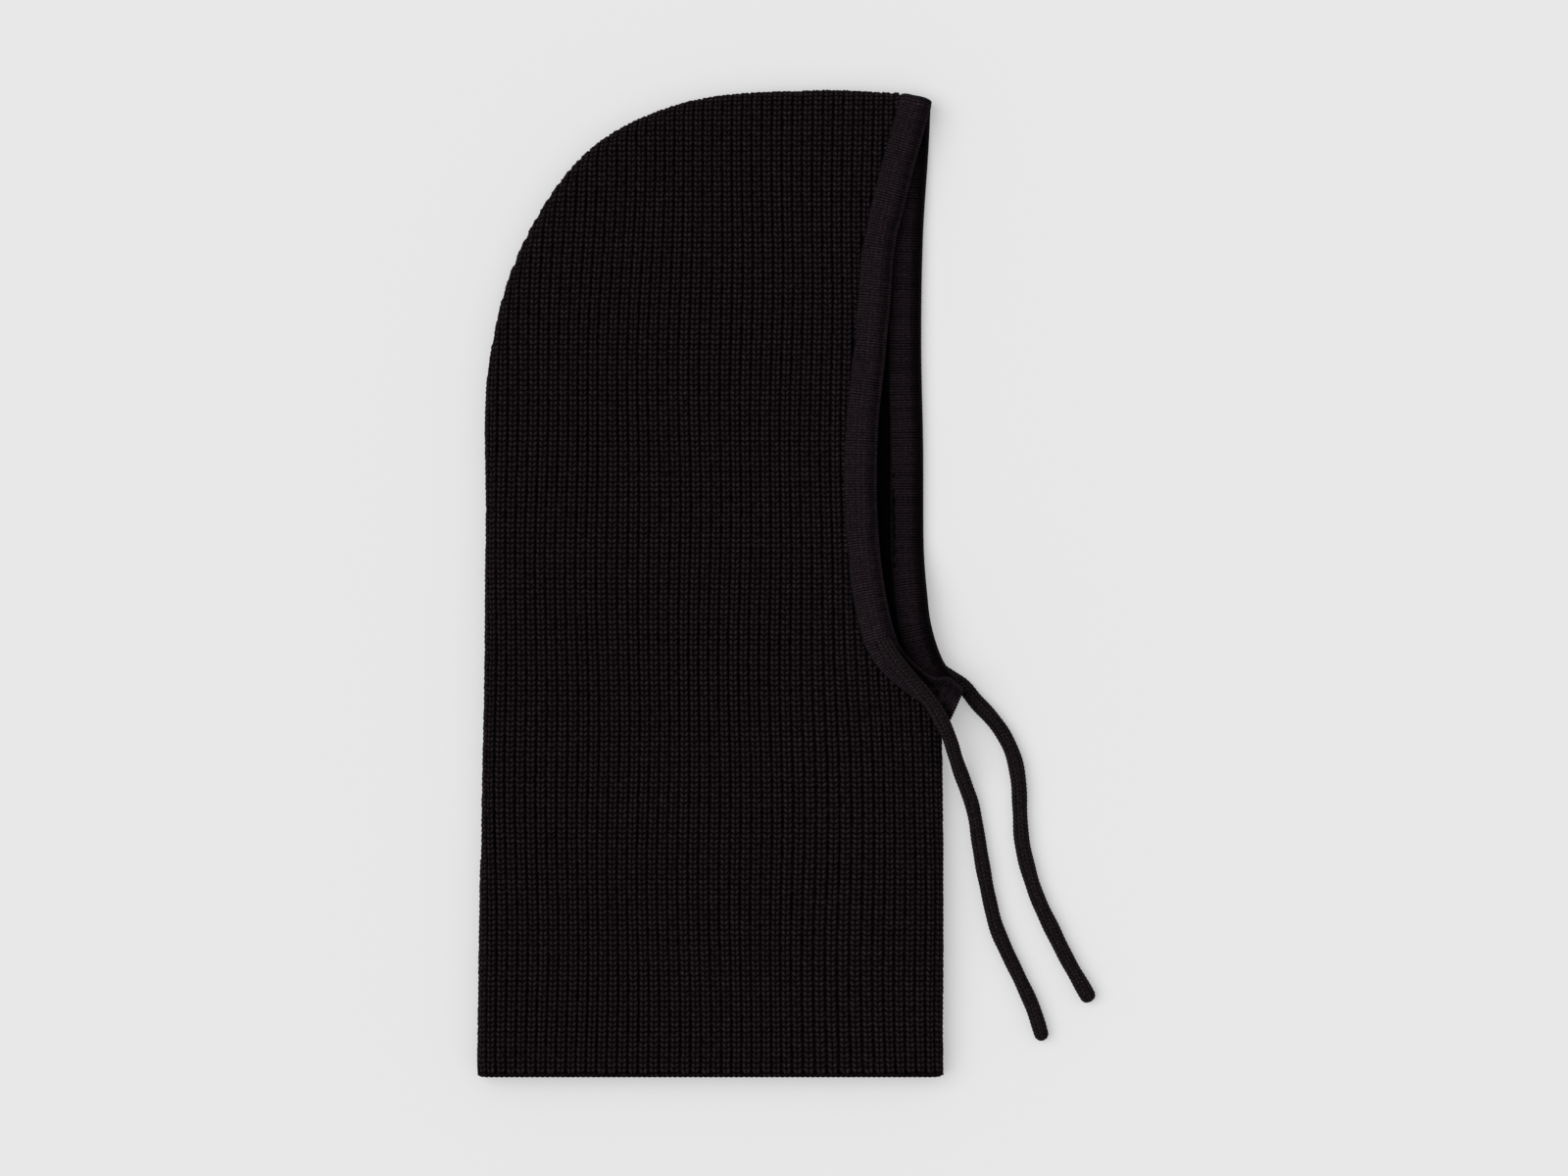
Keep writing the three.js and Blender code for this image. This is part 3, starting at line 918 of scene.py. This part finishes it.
def band_hollows(place, top, heading):
    """Shares, 0 to 1, of the slit that the cord leaves by, of the crease beside the cord, and
    of the lip that swells over the cord before it comes out."""
    reach = place - SLIT
    along = (reach * heading).sum(axis=-1)
    aside = reach[..., 0] * heading[..., 1] - reach[..., 1] * heading[..., 0]
    slit = np.exp(-((along / 0.0014) ** 2) - ((aside / 0.0042) ** 4))
    tail = spline([station[:2] for station in RIGHT_TAIL], 0.001)[:60]
    flat = place.reshape(-1, 2)
    near = nearest_on(tail, flat)
    away = np.linalg.norm(flat - near, axis=1) * np.sign((flat - near).sum(axis=1))
    crease = np.exp(-(((away - CORD_CREASE) / 0.0010) ** 2)).reshape(along.shape)
    crease *= smooth((SLIT[1] - place[..., 1]) / 0.006)
    lip = np.exp(-((aside / 0.0046) ** 4)) * np.exp(-(((along - 0.0048) / 0.0046) ** 4))
    return slit * top, crease * top, lip * top


def face_band():
    line, side, up, steps = band_route()
    around = round_section(BAND_AROUND)
    cos, sin = np.cos(around), np.sin(around)
    across = BAND_WIDTH / 2 * np.sign(cos) * np.abs(cos) ** 0.72
    rise = BAND_HALF * np.sign(sin) * np.abs(sin) ** 0.85 * (1 - 0.30 * cos) / 1.30
    step = steps[:, None]
    crest = ripple(step / RIDGE)
    chance = np.random.default_rng(11)
    ridge_number = (steps / RIDGE).astype(int)
    uneven = chance.uniform(0.6, 1.3, ridge_number.max() + 2)[ridge_number][:, None]
    pucker = (0.00035 * np.sin(step / 0.009 + 3 * np.sin(step / 0.05))
              + 0.0003 * np.sin(step / 0.0043 + across / 0.003)) * (sin > 0)
    sink = RIDGE_DEPTH * uneven * (1 - crest) * (0.2 + 0.8 * np.abs(sin)) + np.maximum(pucker, 0)
    near_run = (up[:, 2] > 0.9)[:, None]
    place = line[:, None, :2] + side[:, None, :2] * across[:, None]
    top = near_run * smooth((sin - 0.1) / 0.6)
    slit, crease, lip = band_hollows(place, top, headings(line)[:, None, :2])
    flare = 1 + TAB_FLARE * np.exp(-((step / TAB_REACH) ** 2))
    flare = flare + TAB_BULGE * np.exp(-(((step - TAB_REACH) / 0.006) ** 2)) * (cos > 0)
    scale = 1 - sink / np.hypot(across, rise)
    tuck = 1 - 0.3 * at_chin(line[:, 1:2]) * (cos < 0) * near_run
    sections = np.stack([across * scale * flare * tuck, rise * scale], axis=-1)
    sections[..., 1] += LIP * lip - SLIT_DEPTH * slit - CREASE_DEPTH * crease
    ends = rounded_ends(len(steps), RIDGE / ROWS_PER_RIDGE, BAND_END_ROUNDING)
    sections *= (0.86 + 0.14 * ends)[:, None, None]
    lifted = lift_at(line[:, 1])[:, None]
    tilt = -CHIN_SHARE * lifted * np.clip(-sections[..., 0] / BAND_WIDTH * 2, 0, 1) ** 1.5
    sections[..., 1] += tilt * np.sign(up[:, 2])[:, None]
    mirrored = BAND_WALES / 2 * np.abs(around / math.pi - 1)
    counts = np.stack([np.broadcast_to(mirrored, scale.shape),
                       np.broadcast_to(step / RIDGE, scale.shape)], axis=-1)
    # Painted shade on the band: between the ridges, more so on the seam side; along the seam line;
    # on the free side, which curves away from the light; in the slit and in the crease beside the
    # cord; and a little over the whole far run, which lies in the near run's shade.
    seam_shadow = np.clip((-cos - 0.90) / 0.08, 0, 1)
    free_side_shade = np.clip((cos - 0.05) / 0.5, 0, 1) * np.clip((0.90 - cos) / 0.08, 0, 1)
    ridge_shade_share = 0.65 + 0.35 * np.clip(-cos, 0, 1)
    depth = 0.95 * (1 - crest) * uneven * ridge_shade_share + 0.55 * free_side_shade + seam_shadow
    depth = np.clip(depth + 1.4 * slit + 0.8 * crease + 0.30 * (~near_run), 0, 1)
    return sweep("folded_band", line, side, up, sections, counts, depth, BAND_FABRIC)


band = face_band()
finish_piece(band, BAND_WOOL, "fine_knit", "face_band")

# %% [markdown]
# ## The drawstring
# The cord is a narrow tube knitted on a few needles. Small V stitches run round it, and its
# ends are bare and rounded. The free tails lie limp: over the band's end, and down along
# the surface. Each ring of the tube is turned with the cord, without twisting.

# %% Cord
CORD = 0.0065
CORD_AROUND = 24
CORD_WALES = 6
CORD_COURSE = 0.0021
ROWS_PER_CORD_COURSE = 4
CORD_STEP = CORD_COURSE / ROWS_PER_CORD_COURSE
CORD_LEG_DEPTH = 0.00022
CORD_GROOVE_DEPTH = 0.00042
CORD_DOME = 0.0036


def untwisted(line):
    """Two directions square to a line that turn with it and never spin round it."""
    heading = headings(line)
    side = np.zeros_like(line)
    last = np.cross(heading[0], (0, 0, 1))
    for i, ahead in enumerate(heading):
        last = last - ahead * last.dot(ahead)
        last /= np.linalg.norm(last)
        side[i] = last
    return side, np.cross(side, heading)


def knitted_cord(name, line, width, thickness):
    """A tube of V stitches along a line whose points are CORD_STEP apart."""
    side, up = untwisted(line)
    around = round_section(CORD_AROUND)
    step = np.arange(len(line))[:, None] / ROWS_PER_CORD_COURSE
    wale = around * CORD_WALES / (2 * math.pi)
    to_middle = np.abs(wale % 1 - 0.5) * 2
    leg = ripple(step - 0.7 * to_middle)
    groove = to_middle**3
    relief = CORD_LEG_DEPTH * (1 - leg) + CORD_GROOVE_DEPTH * groove
    body = 1 + 0.03 * np.sin(step / 3.1) + 0.02 * np.sin(step / 1.3 + 1)
    scale = rounded_ends(len(line), CORD_STEP, CORD_DOME)[:, None] * body
    ring = np.stack([np.cos(around) * width / 2, np.sin(around) * thickness / 2], axis=-1)
    shrink = 1 - relief / np.hypot(ring[:, 0], ring[:, 1])
    sections = ring * (shrink * scale)[..., None] / 1.03
    mirrored = CORD_WALES / 2 * np.abs(around / math.pi - 1)
    counts = np.stack([mirrored + 0 * step, step + 0 * mirrored], axis=-1)
    # Painted shade: the colour darkens in the grooves between the wales and between the legs of
    # each stitch.
    depth = np.clip(0.6 * groove + 0.5 * (1 - leg), 0, 1)
    return sweep(name, line, side, up, sections, counts, depth)


def free_tail(name, stations, node, lying_width):
    """A tail of the cord, which spreads a little under its own weight where it lies."""
    line = spline(stations, CORD_STEP)
    piece = knitted_cord(name, line, lying_width, CORD)
    finish_piece(piece, CORD_WOOL, "cord_knit", node)
    print(name, "is", round(line_length(line), 3), "m long")


free_tail("right_tail", RIGHT_TAIL, "drawstring_right_tail", 0.0081)
free_tail("left_tail", LEFT_TAIL, "drawstring_left_tail", 0.0087)

# %% [markdown]
# Inside the casing the same cord is pressed flat. It is out of sight, but the piece is one
# that the real hood holds, so it is made with the same stitches.

# %% Cord in the casing
FLAT_CORD = (0.0070, 0.0038)
CASING_ENDS_Y = (-0.022, -0.023)


def cased_cord():
    line = band_route()[0]
    start = np.argmax(line[:, 1] > CASING_ENDS_Y[0])
    stop = len(line) - np.argmax(line[::-1, 1] > CASING_ENDS_Y[1])
    piece = knitted_cord("cased_cord", even_steps(line[start:stop], CORD_STEP), *FLAT_CORD)
    finish_piece(piece, CORD_WOOL, "cord_knit", "drawstring_in_casing")


cased_cord()

# %% [markdown]
# ## Seams, stitching and the cast-off edge
# The knitted pieces are joined with the same black yarn. Each kind of stitch is modelled once
# at the origin, in edit mode from a ring or a ball of yarn. Copies of it are then laid along
# the seam in one mesh, as a linking machine does: one loop, repeated.

# %% One stitch


def made_once(name, shape, length, width, thickness):
    """A chain loop, or a short bar of yarn that bows up in its middle, lying along X."""
    bpy.ops.object.select_all(action="DESELECT")
    if shape == "loop":
        bpy.ops.mesh.primitive_torus_add(major_segments=10, minor_segments=5,
                                         major_radius=(width - thickness) / 2,
                                         minor_radius=thickness / 2)
        stretch = (length / width, 1, 1)
    else:
        bpy.ops.mesh.primitive_uv_sphere_add(segments=6, ring_count=6, radius=0.5)
        stretch = (width, thickness, length)
    stitch = bpy.context.object
    stitch.name = name
    bpy.ops.object.mode_set(mode="EDIT")
    bpy.ops.mesh.select_all(action="SELECT")
    bpy.ops.transform.resize(value=stretch)
    if shape == "bar":
        bpy.ops.transform.rotate(value=math.pi / 2, orient_axis="Y", center_override=(0, 0, 0))
    bpy.ops.mesh.select_all(action="DESELECT")
    bpy.ops.object.mode_set(mode="OBJECT")
    tail_end = -length / 6
    for corner in stitch.data.vertices:
        corner.select = corner.co.x < tail_end if shape == "loop" else abs(corner.co.x) < length / 4
    bpy.ops.object.mode_set(mode="EDIT")
    if shape == "loop":
        bpy.ops.transform.resize(value=(1, 0.55, 1))
    else:
        bpy.ops.transform.translate(value=(0, 0, thickness * 0.5))
    bpy.ops.object.mode_set(mode="OBJECT")
    points = np.array([corner.co[:] for corner in stitch.data.vertices])
    faces = [list(face.vertices) for face in stitch.data.polygons]
    bpy.data.objects.remove(stitch)
    print(name, len(faces), "faces")
    return points, faces


def laid_copies(name, stitch, places, ahead, up):
    """Copies of a stitch in one mesh: along ahead, standing up, at each place."""
    local, faces = stitch
    ahead = ahead / np.linalg.norm(ahead, axis=1, keepdims=True)
    up = up - ahead * (up * ahead).sum(axis=1, keepdims=True)
    up = up / np.linalg.norm(up, axis=1, keepdims=True)
    frame_of = np.stack([ahead, np.cross(up, ahead), up], axis=1)
    points = places[:, None] + local @ frame_of
    every = [[corner + i * len(local) for corner in face]
             for i in range(len(places)) for face in faces]
    return new_piece(name, points.reshape(-1, 3), every)


CHAIN = made_once("chain_loop", "loop", 0.0034, 0.0017, 0.0007)
BAR = made_once("bar_stitch", "bar", 0.0032, 0.0010, 0.0009)
FINE_BAR = made_once("fine_bar_stitch", "bar", 0.0015, 0.0006, 0.0005)

# %% [markdown]
# Where the band meets a wall, a chain of linking yarn lies down in the corner, half hidden.

# %% Linking chains
CHAIN_PITCH = 0.0026
CHAIN_UNDER_BAND = 0.0007


def linking(name, stations, side_sign, z, node):
    line = spline(stations, CHAIN_PITCH)
    edge = line - side_sign * right_of(headings(line)) * (BAND_WIDTH / 2 - CHAIN_UNDER_BAND)
    edge = edge[edge[:, 0] < NECK_FRONT_X - 0.008]
    ahead = in_space(headings(edge))
    height = z + CHIN_SHARE * lift_at(edge[:, 1])
    places = np.column_stack([edge, height])
    chain = laid_copies(name, CHAIN, places, ahead, upright(len(edge)))
    finish_piece(chain, SHADED_SEAM_YARN, "linking_yarn", node)


linking("right_linking", RIGHT_BAND, 1, 0.0089, "right_band_linking")
linking("left_linking", LEFT_BAND, -1, 0.0046, "left_band_linking")

# %% [markdown]
# The back, crown and neck seams are out of sight between the walls. Each is a narrow ridge of
# turned-in fabric, made as a ribbed strip on edge, which is what the linking leaves inside.

# %% Seam ridges
SEAM_WIDTH = 0.0056
SEAM_INSET = 0.0042
SEAM_HEIGHT = 0.0044
SEAM_STEP = 0.00065
ROWS_PER_SEAM_RIB = 4


def seam_ridge(name, stations, node):
    line = spline(stations, SEAM_STEP)
    line += right_of(headings(line)) * SEAM_INSET
    side, up = in_space(right_of(headings(line))), upright(len(line))
    around = round_section(12)
    rib = np.arange(len(line))[:, None] / ROWS_PER_SEAM_RIB
    ridge = ripple(rib)
    scale = 0.86 + 0.14 * ridge * np.abs(np.sin(2 * around))
    sections = np.stack([np.cos(around) * SEAM_WIDTH / 2 * scale,
                         np.sin(around) * SEAM_HEIGHT / 2 * scale], axis=-1)
    centres = np.column_stack([line, np.full(len(line), MID_Z)])
    counts = np.stack([around + 0 * rib, rib + 0 * around], axis=-1)
    strip = sweep(name, centres, side, up, sections, counts, 1 - ridge + 0 * around)
    finish_piece(strip, SHADED_SEAM_YARN, "linking_yarn", node)


seam_ridge("back_seam", [(-0.1244, -0.248), (-0.123, -0.150), (-0.121, -0.060), (-0.120, 0.030),
                         (-0.119, 0.088)], "centre_back_seam")
seam_ridge("over_crown_seam", [(-0.1188, 0.096), (-0.116, 0.130), (-0.102, 0.172),
                               (-0.067, 0.222), (-0.019, 0.246), (0.030, 0.2513),
                               (0.076, 0.252)], "crown_seam")
seam_ridge("neck_seam", [(NECK_FRONT_X, -0.248), (NECK_FRONT_X, -0.170),
                         (NECK_FRONT_X, -0.092)][::-1], "front_neck_seam")

# %% [markdown]
# The cord leaves the casing through a short slit whose lips are overcast with small bars of
# yarn, so that it doesn't run. The slit is dark and almost closed round the cord.

# %% Eyelets
SLIT_SIZE = (0.0040, 0.0021)
SLIT_BARS = 11


def overcast_slit(name, centre, ahead, face, node):
    """Bars across the crown-side lip of a slit, on the upper (1) or under (-1) side."""
    turn = np.linspace(1.02 * math.pi, 1.98 * math.pi, SLIT_BARS)
    long_way = np.array((ahead[1], -ahead[0], 0.0))
    short_way = np.array((ahead[0], ahead[1], 0.0))
    out = np.cos(turn)[:, None] * long_way + np.sin(turn)[:, None] * short_way
    rim = (np.cos(turn)[:, None] * long_way * SLIT_SIZE[0]
           + np.sin(turn)[:, None] * short_way * SLIT_SIZE[1])
    bars = laid_copies(name, FINE_BAR, np.array(centre) + rim, out, upright(SLIT_BARS, face))
    finish_piece(bars, BAND_WOOL, "linking_yarn", node)


overcast_slit("right_slit", (*SLIT, 0.0204), (0.45, -0.89), 1, "right_eyelet")
overcast_slit("left_slit", (0.1020, -0.0295, 0.0072), (0.30, -0.95), -1, "left_eyelet")

# %% [markdown]
# The open ends of the band are sewn shut with a row of bars, and a last few hold the near end
# down on the far one.

# %% End stitching


def bar_row(name, stitch, stations, z, half_width, count, node, inset=0.0004):
    """A row of upright bars across the band, inset from the end where its stations start."""
    end, inward = np.array(stations[0]), np.array(stations[1])
    ahead = (inward - end) / np.linalg.norm(inward - end)
    across = np.array((ahead[1], -ahead[0]))
    row = np.linspace(-half_width, half_width, count)[:, None]
    places = np.column_stack([end + ahead * inset + row * across, np.full(count, z)])
    outward = np.tile((-ahead[0], -ahead[1], 0.0), (count, 1))
    bars = laid_copies(name, stitch, places, upright(count), outward)
    finish_piece(bars, BAND_WOOL, "linking_yarn", node)


bar_row("near_end_bars", BAR, RIGHT_BAND, BAND_HIGH_Z + CHIN_LIFT, 0.0090, 13,
        "right_band_end_stitch")
bar_row("far_end_bars", BAR, LEFT_BAND[::-1], BAND_LOW_Z + CHIN_LIFT, 0.0062, 13,
        "left_band_end_stitch")
bar_row("near_over_far_tack", FINE_BAR, RIGHT_BAND, (BAND_LOW_Z + BAND_HIGH_Z) / 2 + CHIN_LIFT,
        0.0040, 6, "chin_tack", inset=0.0020)

# %% [markdown]
# The last row of the neck is cast off: a chain of loops that lies along the edge, all the way
# round the mouth. One row of chain is thin, so the edge stays soft and slightly scalloped.

# %% Cast-off row
HEM_BACK_X = -0.1245
CAST_OFF_PITCH = 0.0026
CHAIN_INSET = 0.0018
CHAIN_RISE = 0.0010


def cast_off_row():
    half = (NECK_FRONT_X - HEM_BACK_X) / 2 - CHAIN_INSET
    middle = (NECK_FRONT_X + HEM_BACK_X) / 2
    turn_radius = MID_Z - CHAIN_INSET
    turn = np.linspace(-math.pi / 2, math.pi / 2, 12)
    front = np.column_stack([half - turn_radius + turn_radius * np.cos(turn),
                             turn_radius * np.sin(turn)])
    ring = np.vstack([front, -front, front[:1]])
    ring = even_steps(ring, CAST_OFF_PITCH)[:-1]
    ahead = headings(np.vstack([ring[-1], ring, ring[0]]))[1:-1]
    places = np.column_stack([ring[:, 0] + middle, np.full(len(ring), HEM_Y + CHAIN_RISE),
                              ring[:, 1] + MID_Z])
    along = np.column_stack([ahead[:, 0], np.zeros(len(ring)), ahead[:, 1]])
    outward = np.column_stack([ahead[:, 1], np.zeros(len(ring)), -ahead[:, 0]])
    thick_chain = made_once("cast_off_loop", "loop", 0.0038, 0.0020, 0.0012)
    row = laid_copies("cast_off_row", thick_chain, places, along, outward)
    finish_piece(row, SHADED_SEAM_YARN, "rib_knit", "hem_edge")


cast_off_row()

# %% [markdown]
# ## What each piece of cloth was cut from
# The walls are two flat knitted panels and the band is one long strip folded double, so the
# flat size that each had on the knitting machine is worked out here and printed.


def flat_area(rim, face, neck):
    x, y = np.vstack([rim, face, neck]).T
    return abs(float((x * np.roll(y, -1) - y * np.roll(x, -1)).sum())) / 2


right_cut = flat_area(*wall_outline(RIGHT_BAND, False))
left_cut = flat_area(*wall_outline(LEFT_BAND, True))
band_length = round(line_length(band_route()[0]), 3)
print("wall cuts", round(right_cut, 4), round(left_cut, 4), "band", band_length)
